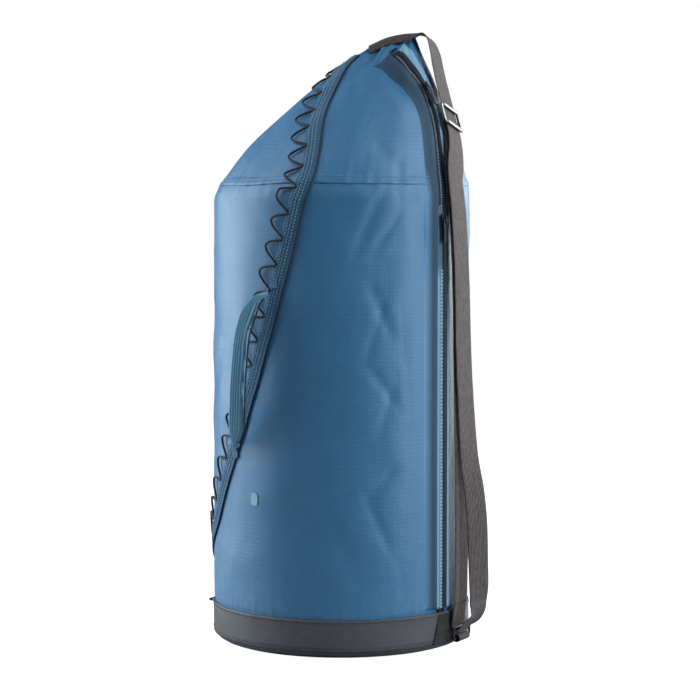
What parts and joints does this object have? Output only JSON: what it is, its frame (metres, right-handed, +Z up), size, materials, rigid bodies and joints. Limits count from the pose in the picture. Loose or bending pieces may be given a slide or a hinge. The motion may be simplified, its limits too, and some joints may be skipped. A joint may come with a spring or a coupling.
{
  "type": "ski boot bag",
  "caption": "Tall cylindrical coated-cloth bag with a tapered ridge top, full-length zip, shoulder strap, grab handle and spiral lash cord.",
  "frame": {"origin": "centre of the base's flat underside", "axes": "+Z up along the bag, -Y the front with the handle and lash line, +X the zip and strap side"},
  "size_m": [0.3628, 0.332, 0.7816],
  "materials": {
    "blue_cloth": "coated ripstop, soft gloss",
    "grey_cloth": "coated cloth, matt",
    "zip_cloth": "woven tape",
    "pale_cloth": "coated ripstop, soft gloss",
    "blue_webbing": "ribbed webbing",
    "strap_webbing": "woven webbing",
    "black_webbing": "woven webbing",
    "elastic_cord": "braided cover",
    "zip_coil": "moulded coil",
    "dark_metal": "satin",
    "buckle_metal": "tumbled",
    "label_cloth": "woven",
    "base_foam": "closed-cell foam"
  },
  "bodies": {
    "bag": {"base_panel": "grey_cloth", "base_foam": "base_foam", "base_piping": "grey_cloth", "base_band": "grey_cloth", "body_shell": "blue_cloth", "top_yoke": "blue_cloth", "ridge_hem": "blue_cloth", "zip_upper_tape": "zip_cloth", "zip_upper_coil": "zip_coil", "zip_top_stop": "dark_metal", "zip_bottom_stop": "dark_metal", "lash_webbing": "blue_webbing", "lash_cord": "elastic_cord", "handle_tab_top": "blue_webbing", "handle_tab_bottom": "blue_webbing", "strap_ridge": "strap_webbing", "strap_arch": "strap_webbing", "strap_foot": "black_webbing", "strap_anchor_patch": "black_webbing", "ring_keeper": "black_webbing", "anchor_ring": "dark_metal", "base_lash_loop": "black_webbing", "blank_label": "label_cloth"},
    "lip_front": {"zip_coil_front": "zip_coil", "zip_tape_front": "zip_cloth", "zip_facing_front": "blue_cloth"},
    "lip_rear": {"zip_coil_rear": "zip_coil", "zip_tape_rear": "zip_cloth", "zip_facing_rear": "pale_cloth"},
    "lower_slider": {"lower_slider": "dark_metal", "lower_slider_back": "dark_metal"},
    "lower_pull": {"lower_pull": "dark_metal"},
    "upper_slider": {"upper_slider": "dark_metal"},
    "upper_pull": {"upper_pull": "dark_metal"},
    "handle": {"grab_handle": "blue_webbing"},
    "strap": {"strap_carry": "strap_webbing", "strap_return": "strap_webbing"},
    "buckle": {"buckle_frame": "buckle_metal", "buckle_keeper": "strap_webbing"}
  },
  "joints": [
    {"name": "lower_zip_slide", "type": "slide", "parent": "bag", "child": "lower_slider", "axis": [0, 0, -1], "range_m": [0, 0.445]},
    {"name": "zip_lip_front", "type": "hinge", "parent": "bag", "child": "lip_front", "pos_m": [0, 0, 0.3], "axis": [0, 0, -1], "range_deg": [0, 9.2]},
    {"name": "zip_lip_rear", "type": "hinge", "parent": "bag", "child": "lip_rear", "pos_m": [0, 0, 0.3], "axis": [0, 0, 1], "range_deg": [0, 9.2]},
    {"name": "lower_pull_hinge", "type": "hinge", "parent": "lower_slider", "child": "lower_pull", "pos_m": [0.13026, -0.11324, 0.541], "axis": [-0.6561, -0.7547, 0], "range_deg": [0, 150]},
    {"name": "upper_zip_slide", "type": "slide", "parent": "bag", "child": "upper_slider", "axis": [-0.4084, 0.2362, 0.8817], "range_m": [-0.003, 0.01]},
    {"name": "upper_pull_hinge", "type": "hinge", "parent": "upper_slider", "child": "upper_pull", "pos_m": [0.10972, -0.05295, 0.71159], "axis": [-0.6474, -0.7559, -0.0973], "range_deg": [0, 150]},
    {"name": "handle_swing", "type": "hinge", "parent": "bag", "child": "handle", "pos_m": [-0.0873, -0.1482, 0.452], "axis": [0.228, -0.1948, 0.954], "range_deg": [-20, 20]},
    {"name": "strap_swing", "type": "hinge", "parent": "bag", "child": "strap", "pos_m": [0.1, 0, 0.78], "axis": [0.0703, -0.1092, -0.9915], "range_deg": [-26, 0]},
    {"name": "buckle_slide", "type": "slide", "parent": "strap", "child": "buckle", "axis": [-0.1965, 0.4177, 0.8871], "range_m": [-0.012, 0.02]}
  ],
  "couplings": [
    {"joint": "zip_lip_front", "follows": "lower_zip_slide", "rad_per_m": 0.36},
    {"joint": "zip_lip_rear", "follows": "lower_zip_slide", "rad_per_m": 0.36}
  ]
}
